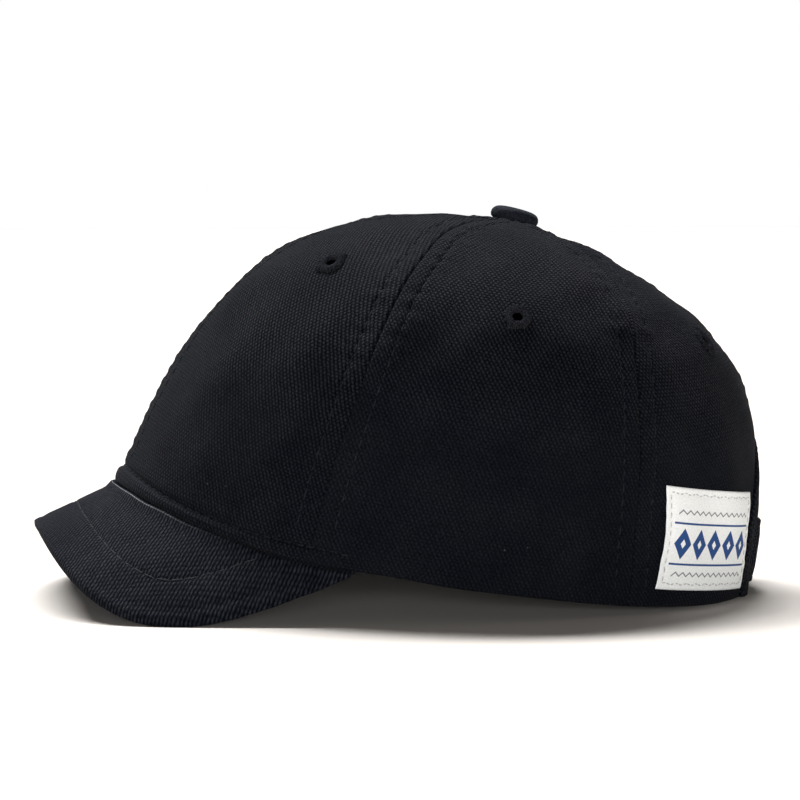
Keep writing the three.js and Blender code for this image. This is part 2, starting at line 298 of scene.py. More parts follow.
def welt_line(angle):
    """Height of the stitch line that closes the rolled welt."""
    return np.interp(np.abs(angle), *WELT_LINE)


def crown_relief(angle, up):
    """How far the finished cloth lies outside the plain crown surface, in millimetres."""
    around = np.abs(angle)
    point = crown_point(angle, up)
    height = height_on(angle, up)
    speed = mm_per_degree(angle, up)
    relief = 0.42 * ripple(point, 18) * smooth_step(height, 4, 26)
    reach = smooth_step(height, 2, 10)
    for seam in ("centre", "fore", "rear", "back"):
        distance = np.abs(around - seam_angle(seam, up)) * speed
        calm = 0.45 if seam in ("centre", "back") else 1.0
        sunk = ROW_SUNK
        if seam == "fore":
            sunk = sunk + ROW_SUNK_MORE * smooth_step(height, *ROW_SUNK_MORE_FROM)
        sewn = calm * seam_relief(distance, height, reach, sunk)
        relief = relief + np.where(distance < SEAM_REACH, sewn, 0)
    fade = 1 - smooth_step(around, *WELT_FADE)
    line = welt_line(angle)
    share = height / line
    roll = WELT_PROUD * np.sqrt(np.clip(1 - ((share - 0.53) / 0.49) ** 2, 0, 1))
    ditch = -0.75 * bump(height - line, 0.7) + 0.35 * bump(height - line - 2.6, 1.9)
    relief = relief * (1 - fade * (1 - smooth_step(share, 0.6, 1.3))) + fade * (roll + ditch)
    thinned = 0.55 * (1 - smooth_step(height, 0, 1.1)) ** 2
    relief = relief + (1 - fade) * (0.28 * (1 - smooth_step(height, *HEM_TOP)) - thinned)
    spread = np.hypot((around - BRIM_END_DIMPLE["angle"]) * speed, height - BRIM_END_DIMPLE["height"])
    relief = relief - BRIM_END_DIMPLE["depth"] * bump(spread, BRIM_END_DIMPLE["size"])
    for at, share_up in EYELETS.values():
        spread = np.hypot((around - at) * speed, (up - share_up) * PANEL_LENGTH)
        relief = relief - EYELET_DIMPLE["depth"] * bump(spread, EYELET_DIMPLE["size"])
    radius = np.hypot(point[..., 0], point[..., 1] - APEX_SETBACK)
    relief = relief - 0.8 * (1 - smooth_step(radius, *BUTTON_DIMPLE))
    relief = relief + 0.7 * bump(radius - 8.3, 1.7) * (0.5 + 0.5 * np.cos(np.radians(angle)))
    for at, middle, wide, tall, deep in SOFT_FOLDS:
        fold = deep * bump((around - at) * speed, wide)
        relief = relief + fold * bump(height - middle - 0.12 * (around - at), tall)
    return relief


def on_crown(angle, up, out):
    angle, up = np.broadcast_arrays(np.asarray(angle, float), np.asarray(up, float))
    normal = crown_frame(angle, up)[2]
    return crown_point(angle, up) + normal * np.asarray(out)[..., None]


# making meshes
def finish_piece(piece, material):
    piece.data.materials.clear()
    piece.data.materials.append(material)
    for face in piece.data.polygons:
        face.use_smooth = True
    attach(piece, "root")
    return piece


def piece_from(name, points, faces, uv=None):
    """A mesh object from points in metres, faces and, if given, one UV a point."""
    mesh = bpy.data.meshes.new(name)
    mesh.from_pydata(points.reshape(-1, 3).tolist(), [], faces)
    if uv is not None:
        layer = mesh.uv_layers.new(name="cloth")
        corner = np.zeros(len(mesh.loops), np.int32)
        mesh.loops.foreach_get("vertex_index", corner)
        layer.data.foreach_set("uv", uv.reshape(-1, 2)[corner].astype(np.float32).ravel())
    mesh.update()
    piece = bpy.data.objects.new(name, mesh)
    bpy.context.collection.objects.link(piece)
    return piece


def shell_faces(shape, keep=None):
    """Faces of a closed sheet: an outer and an inner grid, and walls round what is kept."""
    count = shape[0] * shape[1]
    index = np.arange(count).reshape(shape)
    corners = np.stack([index[:-1, :-1], index[:-1, 1:], index[1:, 1:], index[1:, :-1]], -1)
    corners = corners.reshape(-1, 4) if keep is None else corners[keep]
    faces = corners.tolist() + (corners[:, ::-1] + count).tolist()
    edges = {}
    for quad in corners.tolist():
        for a, b in zip(quad, quad[1:] + quad[:1]):
            if (b, a) in edges:
                del edges[(b, a)]
            else:
                edges[(a, b)] = True
    faces += [[b, a, a + count, b + count] for a, b in edges]
    return faces


def sleeve_faces(rings, sides):
    """Faces of a closed tube made of rings, with its two ends last."""
    faces = []
    for i in range(rings - 1):
        for k in range(sides):
            a, b = i * sides + k, i * sides + (k + 1) % sides
            faces.append([a, b, b + sides, a + sides])
    last = (rings - 1) * sides
    return faces + [list(range(sides))[::-1], [last + k for k in range(sides)]]


def band_piece(name, section, points, along, turned=False):
    """A closed band from a grid of points, a section a row; along is each row's place on the cloth."""
    faces = sleeve_faces(*points.shape[:2])
    if turned:
        faces = [[a, d, c, b] for a, b, c, d in faces[:-2]] + [end[::-1] for end in faces[-2:]]
    uv = np.stack(np.meshgrid(along, run_along(np.array(section)), indexing="ij"), -1) * MM
    return piece_from(name, to_rest(points), faces, uv)


def edit_all():
    """Goes into edit mode with all of the active piece selected."""
    bpy.ops.object.mode_set(mode="EDIT")
    bpy.ops.mesh.select_all(action="SELECT")


def face_outward():
    edit_all()
    bpy.ops.mesh.normals_make_consistent(inside=False)
    bpy.ops.object.mode_set(mode="OBJECT")


def drop_loose(piece):
    """Removes the points that no face uses."""
    corner = np.zeros(len(piece.data.loops), np.int32)
    piece.data.loops.foreach_get("vertex_index", corner)
    if len(np.unique(corner)) == len(piece.data.vertices):
        return
    bpy.ops.object.select_all(action="DESELECT")
    bpy.context.view_layer.objects.active = piece
    piece.select_set(True)
    edit_all()
    bpy.ops.mesh.delete_loose()
    bpy.ops.object.mode_set(mode="OBJECT")


def own_points(piece):
    """The points of a piece modelled by operators, in millimetres."""
    return np.array([v.co[:] for v in piece.data.vertices]) / MM


def place_points(piece, points):
    """Gives a piece points of the crown's frame."""
    piece.data.vertices.foreach_set("co", to_rest(points).astype(np.float32).ravel())
    piece.data.update()


def tube(path, normals, radius, flat=0.8, sides=6):
    """Points and faces of a closed thread along a path; radius may taper to its ends."""
    path = np.asarray(path, float)
    tangent = unit(np.gradient(path, axis=0))
    across = unit(np.cross(tangent, normals))[:, None]
    lift = np.cross(across[:, 0], tangent)[:, None]
    turn = (np.arange(sides) * 2 * np.pi / sides)[None, :, None]
    radius = np.broadcast_to(radius, len(path))[:, None, None]
    ring = (across * np.cos(turn) + lift * np.sin(turn) * flat) * radius
    return (path[:, None] + ring).reshape(-1, 3), sleeve_faces(len(path), sides)


def gather(parts):
    """Several (points, faces) as one."""
    points, faces, start = [], [], 0
    for part_points, part_faces in parts:
        points.append(part_points)
        faces += [[i + start for i in face] for face in part_faces]
        start += len(part_points)
    return np.concatenate(points), faces


def stitches(path, normals, pitch=STITCH_PITCH, length=STITCH_LENGTH, thick=0.3, lift=0.1, start=0.0):
    """Threads laid along a line: each dips into the cloth at both ends."""
    path, normals = np.asarray(path, float), np.asarray(normals, float)
    run = run_along(path)
    parts = []
    count = max(1, round((run[-1] - start) / pitch))
    pitch = (run[-1] - start) / count
    for i in range(count):
        wander = 0.12 * math.sin(i * 2.7 + start)
        here = start + (i + 0.5) * pitch + wander
        spots = here + length * np.array([-0.5, -0.38, -0.16, 0.16, 0.38, 0.5])
        line = np.stack([np.interp(spots, run, path[:, k]) for k in range(3)], -1)
        normal = unit(np.stack([np.interp(spots, run, normals[:, k]) for k in range(3)], -1))
        height = lift * np.array([-3.2, 0.1, 1, 1, 0.1, -3.2])
        taper = thick * np.array([0.6, 0.95, 1, 1, 0.95, 0.6])
        parts.append(tube(line + normal * height[:, None], normal, taper))
    return parts


def thread_piece(name, parts, material):
    points, faces = gather(parts)
    return finish_piece(piece_from(name, to_rest(points), faces), material)


# materials
def feed(tree, made, place, value):
    """Links or sets one socket of a node."""
    if isinstance(value, bpy.types.NodeSocket):
        tree.links.new(value, made.inputs[place])
    else:
        made.inputs[place].default_value = value


def node(tree, kind, **inputs):
    """A shader node: set_x gives its property x, and i0, i1 or i2 a socket by its place."""
    made = tree.nodes.new(kind)
    for key, value in inputs.items():
        if key.startswith("set_"):
            setattr(made, key[4:], value)
        else:
            feed(tree, made, int(key[1:]) if key[0] == "i" and key[1:].isdigit() else key, value)
    return made


def maths(tree, operation, first, second=0.0, third=0.0):
    return node(tree, "ShaderNodeMath", set_operation=operation, i0=first, i1=second, i2=third).outputs[0]


def mix(tree, factor, first, second, blend="MIX"):
    made = node(tree, "ShaderNodeMix", set_data_type="RGBA", set_blend_type=blend,
                Factor=factor, A=first, B=second)
    return made.outputs["Result"]


def map_range(tree, value, low, high, to_low=0.0, to_high=1.0):
    spans = {"From Min": low, "From Max": high, "To Min": to_low, "To Max": to_high}
    return node(tree, "ShaderNodeMapRange", Value=value, **spans).outputs[0]


def noise(tree, place, scale, detail, **settings):
    made = node(tree, "ShaderNodeTexNoise", Vector=place, Scale=scale, Detail=detail, **settings)
    return made.outputs["Fac"]


def coordinate(tree, place, axis):
    return node(tree, "ShaderNodeSeparateXYZ", Vector=place).outputs[axis]


def ramp(tree, value, stops):
    made = tree.nodes.new("ShaderNodeValToRGB")
    tree.links.new(value, made.inputs[0])
    for element, (place, colour) in zip(made.color_ramp.elements, stops):
        element.position = place
        element.color = (*colour, 1)
    return made.outputs[0]


def new_material(name):
    """A material, its nodes and its texture coordinates."""
    material = bpy.data.materials.new(name)
    material.use_nodes = True
    tree = material.node_tree
    return material, tree, node(tree, "ShaderNodeTexCoord").outputs


def surface(tree, height=None, strength=0.0, distance=0.0, **values):
    """Feeds the shader's sockets, named with low lines for spaces, and a bump from a height."""
    if height is not None:
        raised = node(tree, "ShaderNodeBump", Strength=strength, Distance=distance, Height=height)
        values["Normal"] = raised.outputs[0]
    for key, value in values.items():
        feed(tree, tree.nodes["Principled BSDF"], key.replace("_", " "), value)


# The ribs' height about which the lower cloth, with flatter ribs and weaker painted light and shade, keeps
# its tone
RIB_MEAN = 0.26
# Length of a float in rib spacings, and how far the floats step from rib to rib
FLOAT_LENGTH = 1.1
FLOAT_STEP = 0.39
# Colours of the grooves and of the ribs' crowns: the step between them is painted shade in the grooves and
# painted light on the ribs.
TWILL_LOW = (0.0006, 0.0011, 0.0019)
TWILL_HIGH = (0.0142, 0.0152, 0.0198)
LINT = (0.05, 0.05, 0.053, 1)


def twill(name, slant, tone, rib=1.145, from_object=None, depth=1.0, bead=0.42, flatter_and_dimly_lit=None):
    """Heavy cotton twill: slanted ribs built of short floats, fuzz, uneven dye and a little lint, with
    painted shade in the grooves between the ribs and painted light on their crowns.
    slant is the ribs' direction from the cloth's width, in degrees; rib is their spacing in millimetres,
    depth how strongly they stand out and bead how strongly their floats do. With the flattening below
    (height, height, depth) they stand out less there, in bump and in their painted light and shade, as
    under dimmer light. from_object is two turns that lay the cloth on the object's own coordinates instead
    of its UV."""
    material, tree, place = new_material(name)
    calc = partial(maths, tree)
    source = place["Object"] if from_object else place["UV"]
    turns = (*(from_object or (0, 0)), math.radians(90 - slant))
    flat = node(tree, "ShaderNodeMapping", Vector=source, Scale=(1 / MM,) * 3, Rotation=turns).outputs[0]
    straight = calc("DIVIDE", coordinate(tree, flat, "X"), rib)
    strayed = calc("MULTIPLY_ADD", noise(tree, flat, 0.8, 1.0), 0.55, straight)
    across = calc("MULTIPLY_ADD", noise(tree, flat, 0.11, 2.0), 0.7, strayed)
    along = calc("DIVIDE", coordinate(tree, flat, "Y"), rib * FLOAT_LENGTH)
    wave = calc("COSINE", calc("MULTIPLY", across, 2 * math.pi))
    rounded = calc("POWER", calc("MULTIPLY_ADD", wave, 0.5, 0.5), 1.1)
    number = calc("FLOOR", calc("ADD", across, 0.5))
    beat = calc("MULTIPLY_ADD", number, -FLOAT_STEP, along)
    floats = calc("COSINE", calc("MULTIPLY", beat, 2 * math.pi))
    spot = node(tree, "ShaderNodeCombineXYZ", X=number, Y=calc("FLOOR", calc("ADD", beat, 0.5)))
    own = node(tree, "ShaderNodeTexWhiteNoise", set_noise_dimensions="2D", Vector=spot.outputs[0])
    segment = calc("MULTIPLY_ADD", own.outputs["Value"], 0.4, calc("MULTIPLY_ADD", floats, bead, 0.47))
    ribs = calc("MULTIPLY", rounded, segment)
    # Lower down, the ribs' bump and their painted light and shade both weaken, as under dimmer light.
    if flatter_and_dimly_lit:
        low_edge, high_edge, low_depth = flatter_and_dimly_lit
        up = coordinate(tree, source, "Y")
        depth = map_range(tree, up, low_edge * MM, high_edge * MM, low_depth, depth)
    ribs = calc("MULTIPLY_ADD", calc("SUBTRACT", ribs, RIB_MEAN), depth, RIB_MEAN)
    height = calc("MULTIPLY_ADD", noise(tree, flat, 1.7, 3.0, Roughness=0.65), 1.1, ribs)
    low, high = (tuple(c * tone for c in colour) for colour in (TWILL_LOW, TWILL_HIGH))
    # The colour follows the ribs' height: painted shade in the grooves, painted light on the ribs.
    colour = ramp(tree, calc("MULTIPLY", height, 0.6), [(0.3, low), (0.95, high)])
    dye = noise(tree, flat, 0.05, 4.0)
    worn = ramp(tree, dye, [(0.3, (0.72, 0.76, 0.84)), (0.7, (1.26, 1.22, 1.2))])
    specks = node(tree, "ShaderNodeTexVoronoi", Vector=flat, Scale=0.15)
    tint = node(tree, "ShaderNodeSeparateColor", Color=specks.outputs["Color"])
    size = calc("MULTIPLY", calc("SUBTRACT", tint.outputs[0], 0.5), 0.1)
    shown = calc("LESS_THAN", specks.outputs["Distance"], size)
    dusted = mix(tree, shown, mix(tree, 1, colour, worn, "MULTIPLY"), LINT)
    surface(tree, height, 0.9, 0.00042, Base_Color=dusted, Roughness=0.75, Specular_IOR_Level=0.01,
            Sheen_Weight=0.018, Sheen_Roughness=0.35)
    return material


def thread(name, low, high, specular=0.45, hole=None):
    """Sewing thread: fine twisted plies. Within the radius of a hole, told by the UV, it is painted dark as
    the shade inside the hole.
    """
    material, tree, place = new_material(name)
    plies = noise(tree, place["Object"], 2600.0, 2.0)
    colour = ramp(tree, plies, [(0.35, low), (0.65, high)])
    if hole:
        outside_hole_shade = map_range(tree, coordinate(tree, place["UV"], "X"), hole * MM, (hole + 0.35) * MM)
        # Inside the hole the thread colour gives way to near-black painted shade.
        colour = mix(tree, outside_hole_shade, (0.0002, 0.0002, 0.0003, 1), colour)
    surface(tree, plies, 0.5, 0.0001, Base_Color=colour, Roughness=0.6, Specular_IOR_Level=specular)
    return material


def painted_metal():
    """Dark lacquered metal, worn a little along its faces."""
    material, tree, place = new_material("slide lacquer")
    wear = noise(tree, place["Object"], 900.0, 4.0)
    colour = ramp(tree, wear, [(0.4, (0.012, 0.012, 0.014)), (0.72, (0.036, 0.037, 0.041))])
    rough = maths(tree, "MULTIPLY_ADD", wear, 0.25, 0.3)
    surface(tree, Base_Color=colour, Roughness=rough, Metallic=0.8)
    return material


black_thread = thread("black thread", (0.003, 0.0034, 0.0046), (0.0165, 0.0185, 0.024), specular=0.012)
brim_thread = thread("brim thread", (0.007, 0.0075, 0.009), (0.034, 0.036, 0.041), specular=0.02)
eyelet_thread = thread("eyelet thread", (0.0027, 0.0029, 0.0036), (0.0205, 0.0213, 0.0258),
                       specular=0.0, hole=1.3)

# The ribs' slant; where they lie flatter, with weaker painted light and shade; and each panel's tone, which
# also paints how brightly each panel is lit
SLANTS = {"front": 123, "side": 122, "back": 129}
FLATTER_AND_DIMLY_LIT = {"front": (38, 62, 0.7), "side": (42, 82, 0.42), "back": (42, 82, 0.48)}
TONES = {"front": 1.09, "side": 1.07, "back": 1.15}
panel_twill, mirror_twill = {}, {}
for cut, slant in SLANTS.items():
    look = {"flatter_and_dimly_lit": FLATTER_AND_DIMLY_LIT[cut], "tone": TONES[cut], "depth": 1.12}
    panel_twill[cut] = twill(f"{cut} panel twill", slant, **look)
    mirror_twill[cut] = twill(f"{cut} panel twill mirrored", 180 - slant, **look)


# crown panels
# Distances from a seam and from the rim at which the cloth has a row of points
EDGE_STEPS = np.array([0, 0.2, 0.45, 0.8, 1.25, 1.8, 2.5, 3.3, 4.1, 4.8, 5.3, 5.75, 6.2, 6.9, 7.8, 9.0])
RIM_STEPS = np.array([0, 0.2, 0.5, 0.9, 1.4, 1.9, 2.4, 2.9, 3.4, 3.8, 4.2, 4.6, 5.0, 5.5, 6.2, 7.1, 8.1])
PANEL_SEAMS = {"front": ("centre", "fore"), "side": ("fore", "rear"), "back": ("rear", "back")}
PANEL_MIDDLES = {"front": 31, "side": 90, "back": 149}
HALVES = {"left": 1, "right": -1}
MIDDLE_COLUMNS = {"front": 62, "side": 60, "back": 56}
ROW_STEP = 1.25
SEAM_GAP = 0.05
SEAM_LAP = 1.2
# Which way each seam's hidden edge leans: 1 towards growing angle on the left half
LAPS = {"centre": -1, "fore": 1, "rear": 1, "back": 1}


def arc_table(angle):
    """Shares up a panel's middle and the lengths of cloth up to them."""
    ups = np.linspace(0, up_at_radius(np.array(float(angle)), STEM_HOLE), 400)
    return ups, run_along(crown_point(np.full(400, float(angle)), ups))


def panel_grid(place):
    """Angles, shares and flat cloth coordinates of one left-hand panel."""
    low, high = PANEL_SEAMS[place]
    ups, arcs = arc_table(PANEL_MIDDLES[place])
    rest = np.linspace(RIM_STEPS[-1], arcs[-1], int((arcs[-1] - RIM_STEPS[-1]) / ROW_STEP))[1:]
    lengths = np.concatenate([RIM_STEPS, rest])
    row_ups = np.interp(lengths, arcs, ups)
    angles, across = [], []
    for up in row_ups:
        first, last = float(seam_angle(low, up)), float(seam_angle(high, up))
        fine = np.linspace(first, last, 160)
        arc = run_along(crown_point(fine, np.full(160, up)))
        width = arc[-1]
        edge = EDGE_STEPS * min(1.0, width / 24)
        middle = np.linspace(edge[-1], width - edge[-1], MIDDLE_COLUMNS[place] + 1)[1:-1]
        places = np.concatenate([edge, middle, width - edge[::-1]])
        places[0] += SEAM_GAP
        places[-1] -= SEAM_GAP
        angles.append(np.interp(places, arc, fine))
        across.append(places - width / 2)
    angles = np.array(angles)
    share = np.repeat(row_ups[:, None], angles.shape[1], 1)
    flat = np.stack([np.array(across), np.repeat(lengths[:, None], angles.shape[1], 1)], -1)
    return angles, share, flat


def arch_reach(points):
    """1 on the outline of the back opening, less inside it."""
    base = rim_point(180.0)[2]
    return np.hypot(points[..., 0] / ARCH_HALF_WIDTH, np.maximum(points[..., 2] - base, 0) / ARCH_HEIGHT)


def snap_to_arch(points, normals, reach):
    """Moves points just inside the opening along the cloth onto its outline."""
    base = rim_point(180.0)[2]
    near = (reach > 0.955) & (reach < 1)
    grown = 1 / np.maximum(reach, 0.5)
    dx = points[..., 0] * (grown - 1)
    dz = np.where(points[..., 2] > base, (points[..., 2] - base) * (grown - 1), 0)
    dy = -(normals[..., 0] * dx + normals[..., 2] * dz) / normals[..., 1]
    return points + np.where(near[..., None], np.stack([dx, dy, dz], -1), 0), near


def lapped(place, sign, angles, share):
    """Angles of a panel's inner face. Its edges run under or over the next panel's, so that no
    light comes through."""
    speed = mm_per_degree(angles, share)
    width = (angles[:, -1:] - angles[:, :1]) * speed
    amount = np.minimum(SEAM_LAP, 0.12 * width)
    band = np.minimum(9.0, width * 0.375)
    moved = angles
    for seam, edge in zip(PANEL_SEAMS[place], (angles[:, :1], angles[:, -1:])):
        side = sign if seam in ("centre", "back") else 1
        near = np.clip(1 - np.abs(angles - edge) * speed / band, 0, 1)
        moved = moved + side * LAPS[seam] * amount * near / speed
    return moved


def rim_lift(angle):
    """How far the rim is drawn up beside the brim's ends."""
    return RIM_LIFT["height"] * bump(np.abs(angle) - RIM_LIFT["angle"], RIM_LIFT["spread"])


def crown_panel(place, hand, sign):
    angles, share, flat = panel_grid(place)
    hidden = crown_point(sign * lapped(place, sign, angles, share), share)
    angles = angles * sign
    points = crown_point(angles, share)
    hidden = hidden - points
    normals = crown_frame(angles, share)[2]
    keep = None
    relief = crown_relief(angles, share)
    if place == "back":
        reach = arch_reach(points)
        points, near = snap_to_arch(points, normals, reach)
        solid = (reach >= 1) | near
        keep = solid[:-1, :-1] & solid[:-1, 1:] & solid[1:, 1:] & solid[1:, :-1]
        relief = relief * smooth_step(reach, 1.0, 1.22)
    height = height_on(angles, share)
    points[..., 2] += rim_lift(angles) * (1 - smooth_step(height, 0, 7))
    thin = 0.5 * (1 - smooth_step(height, 0, 1.0)) ** 2
    inner = np.minimum(relief - 0.45, -WALL + thin)
    both = np.stack([points + normals * relief[..., None], points + hidden + normals * inner[..., None]])
    uv = np.stack([flat, flat]) * MM
    uv[..., 0] *= sign
    faces = shell_faces(points.shape[:2], keep)
    if sign < 0:
        faces = [face[::-1] for face in faces]
    piece = piece_from(f"crown_{place}_{hand}", to_rest(both), faces, uv)
    drop_loose(piece)
    material = (panel_twill if sign > 0 else mirror_twill)[place]
    finish_piece(piece, material)
    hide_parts(f"crown_panel_{place}_{hand}")
    return piece


for panel_place in PANEL_SEAMS:
    for panel_hand, panel_sign in HALVES.items():
        crown_panel(panel_place, panel_hand, panel_sign)


# stitch rows on the crown
# Share of the crown's height for each millimetre of cloth near the rim
UP_PER_MM = 0.0065


def crown_line(angles, ups):
    relief = crown_relief(angles, ups)
    normals = crown_frame(angles, ups)[2]
    return crown_point(angles, ups) + normals * relief[..., None], normals


def seam_row(seam, side, sign, low_height, arc_end):
    """A stitch row beside a seam, as points on the cloth."""
    ups = np.linspace(0, 0.985, 420)
    for _ in range(3):
        seam_at = seam_angle(seam, ups)
        angles = seam_at + side * SEAM_STITCH_OFFSET / mm_per_degree(seam_at, ups)
    heights = height_on(angles, ups)
    point = crown_point(angles, ups)
    radius = np.hypot(point[:, 0], point[:, 1] - APEX_SETBACK)
    wanted = (heights > low_height) & (radius > arc_end)
    if seam == "back":
        wanted &= arch_reach(point) > 1.27
    return crown_line(sign * angles[wanted], ups[wanted])


def crown_stitches():
    # Seam, side of it, height where the row starts and radius where it ends
    rows = [("centre", 1, 8.0, 10.5), ("fore", -1, 9.0, 11.0), ("fore", 1, 9.5, 11.0),
            ("rear", -1, 1.5, 10.5), ("rear", 1, 2.0, 11.0), ("back", -1, 2.0, 10.5)]
    around = np.linspace(0.4, 67.6, 300)
    ups = np.full(300, 0.02)
    for _ in range(12):
        ups = ups + (welt_line(around) - height_on(around, ups)) * UP_PER_MM
    for hand, sign in HALVES.items():
        parts = []
        for number, (seam, side, low_height, arc_end) in enumerate(rows):
            path, normals = seam_row(seam, side, sign, low_height, arc_end)
            parts += stitches(path, normals, start=0.7 * number)
        path, normals = crown_line(sign * around, ups)
        parts += stitches(path, normals, pitch=3.6, length=2.7, thick=0.32)
        thread_piece(f"crown_stitches_{hand}", parts, black_thread)


crown_stitches()


# eyelets
EYELET_THREADS = 30
EYELET_CORE_RADIUS = 2.85
EYELET_PIT_RADIUS = 2.0


def eyelet(place, hand, sign):
    """Satin-stitched eyelet: close threads run from the hole over a raised ring, round a pit painted dark
    as the shade in the hole.
    """
    angle, up = np.array(sign * EYELETS[place][0]), np.array(EYELETS[place][1])
    around, climb, normal = crown_frame(angle, up)
    centre = crown_point(angle, up) + normal * (crown_relief(angle, up) + 0.1)
    shares = np.array([-0.1, 0.02, 0.18, 0.42, 0.68, 0.88, 1.0])
    heights = np.array([-1.6, -0.3, 0.5, 0.72, 0.62, 0.36, -0.3])
    parts = []
    for i in range(EYELET_THREADS):
        turn = 2 * np.pi * i / EYELET_THREADS
        stray = 0.22 * math.sin(i * 2.3) + 0.14 * math.sin(i * 5.1)
        # Longer threads where the sewing begins and ends
        stray += 1.3 * math.exp(-((math.remainder(turn - 1.2, math.pi)) / 0.2) ** 2)
        outward = around * math.cos(turn) + climb * math.sin(turn)
        reach = EYELET_RADIUS + stray
        radii = EYELET_HOLE + (reach - EYELET_HOLE) * shares
        line = centre + outward * radii[:, None] + normal * heights[:, None]
        thick = 0.12 + 0.42 * radii / reach
        parts.append(tube(line, np.broadcast_to(normal, line.shape), thick, flat=0.9))
    ring_turn = np.linspace(0, 2 * np.pi, 33)[:, None]
    spokes = np.cos(ring_turn) * around + np.sin(ring_turn) * climb
    ring = centre + EYELET_CORE_RADIUS * spokes + 0.05 * normal
    core = tube(ring, np.broadcast_to(normal, ring.shape), 1.1, flat=0.5, sides=12)
    edge = centre + EYELET_PIT_RADIUS * spokes[:-1]
    pit = np.concatenate([edge + 0.06 * normal, edge - 0.5 * normal])
    pit_faces = [list(range(32)), list(range(32, 64))[::-1]]
    pit_faces += [[(k + 1) % 32, k, k + 32, (k + 1) % 32 + 32] for k in range(32)]
    points, faces = gather(parts + [core, (pit, pit_faces)])
    offset = points - centre
    radius = np.linalg.norm(offset - (offset @ normal)[:, None] * normal, axis=-1)
    # The pit's points get a UV radius of 0, so the thread material paints them dark as the hole's shade.
    radius[-len(pit):] = 0
    uv = np.stack([radius, np.zeros_like(radius)], -1) * MM
    piece = piece_from(f"sewn_eyelet_{place}_{hand}", to_rest(points), faces, uv)
    finish_piece(piece, eyelet_thread)
    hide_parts(f"eyelet_{place}_{hand}")


for eyelet_place in EYELETS:
    for eyelet_hand, eyelet_sign in HALVES.items():
        eyelet(eyelet_place, eyelet_hand, eyelet_sign)


# brim
# The cloth's UV is the brim's plan, stretched this much front to back
BRIM_STRETCH = 1.12
ROOT_HIGHLIGHT_REACH = 1.45
ROOT_HIGHLIGHT_WIDTH = 0.25
ROOT_HIGHLIGHT_START = -0.72
BRIM_HALF_WIDTH = RIM_HALF_WIDTH * math.sin(math.radians(BRIM_END_ANGLE))
BRIM_END_Y = -RIM_HALF_LENGTH * math.cos(math.radians(BRIM_END_ANGLE))
BRIM_FRONT_Y = -(RIM_HALF_LENGTH + BRIM_LENGTH * math.cos(math.radians(BRIM_DROP_FRONT)))
# The stitch row: shares of the brim's span and how far out it runs there
BRIM_STITCH = ([0, 0.15, 0.354, 0.467, 0.52, 0.58, 0.657, 0.744, 0.769],
               [0.475, 0.515, 0.6, 0.625, 0.6, 0.532, 0.381, 0.097, -0.01])
BRIM_STITCH_END = 0.768


def brim_height(x, y):
    rim = rim_point(np.degrees(np.arcsin(np.clip(x / RIM_HALF_WIDTH, -1, 1))))
    drop = BRIM_DROP_FRONT + (BRIM_DROP_SIDE - BRIM_DROP_FRONT) * (x / BRIM_HALF_WIDTH) ** 2
    return rim[..., 2] - 0.3 - np.maximum(rim[..., 1] - y, 0) * np.tan(np.radians(drop))


def brim_outer(share):
    turn = (np.pi / 2) * (1 - (1 - np.abs(share)) ** 2)
    x = np.sign(share) * BRIM_HALF_WIDTH * np.sin(turn) ** (2 / BRIM_PLAN_SIDE)
    return x, BRIM_END_Y + (BRIM_FRONT_Y - BRIM_END_Y) * np.cos(turn) ** (2 / BRIM_PLAN_FRONT)


def brim_top(share, out):
    share, out = np.broadcast_arrays(np.asarray(share, float), np.asarray(out, float))
    inner = rim_point(share * BRIM_END_ANGLE)
    outer_x, outer_y = brim_outer(share)
    spread = np.maximum(out, 0)
    x = inner[..., 0] + (outer_x - inner[..., 0]) * spread
    y = inner[..., 1] + (outer_y - inner[..., 1]) * spread
    tuck = np.where(out < 0, 1 + out * WALL / np.hypot(inner[..., 0], inner[..., 1]), 1)
    x, y = x * tuck, y * tuck
    return np.stack([x, y, np.where(out > 0, brim_height(x, y), inner[..., 2] - 0.3)], -1)


def brim_normal(share, out):
    point = brim_top(share, np.maximum(out, 0.02))
    x, y = point[..., 0], point[..., 1]
    slope_x = brim_height(x + 0.5, y) - brim_height(x - 0.5, y)
    slope_y = (brim_height(x, y) - brim_height(x, y - 0.5)) / 0.5
    full = unit(np.stack([-slope_x, -slope_y, np.ones_like(x)], -1))
    blend = smooth_step(out, 0, 0.4)[..., None]
    return unit(np.array([0, 0, 1.0]) * (1 - blend) + full * blend)


def edge_distance(points):
    """Distance in plan from the brim's outer edge."""
    x, y = brim_outer(np.linspace(-BRIM_SPAN, BRIM_SPAN, 240))
    flat = points[..., :2].reshape(-1, 1, 2)
    near = np.hypot(flat[..., 0] - x, flat[..., 1] - y).min(1)
    return near.reshape(points.shape[:-1])


def stitch_out(share):
    return np.interp(np.abs(share), *BRIM_STITCH)


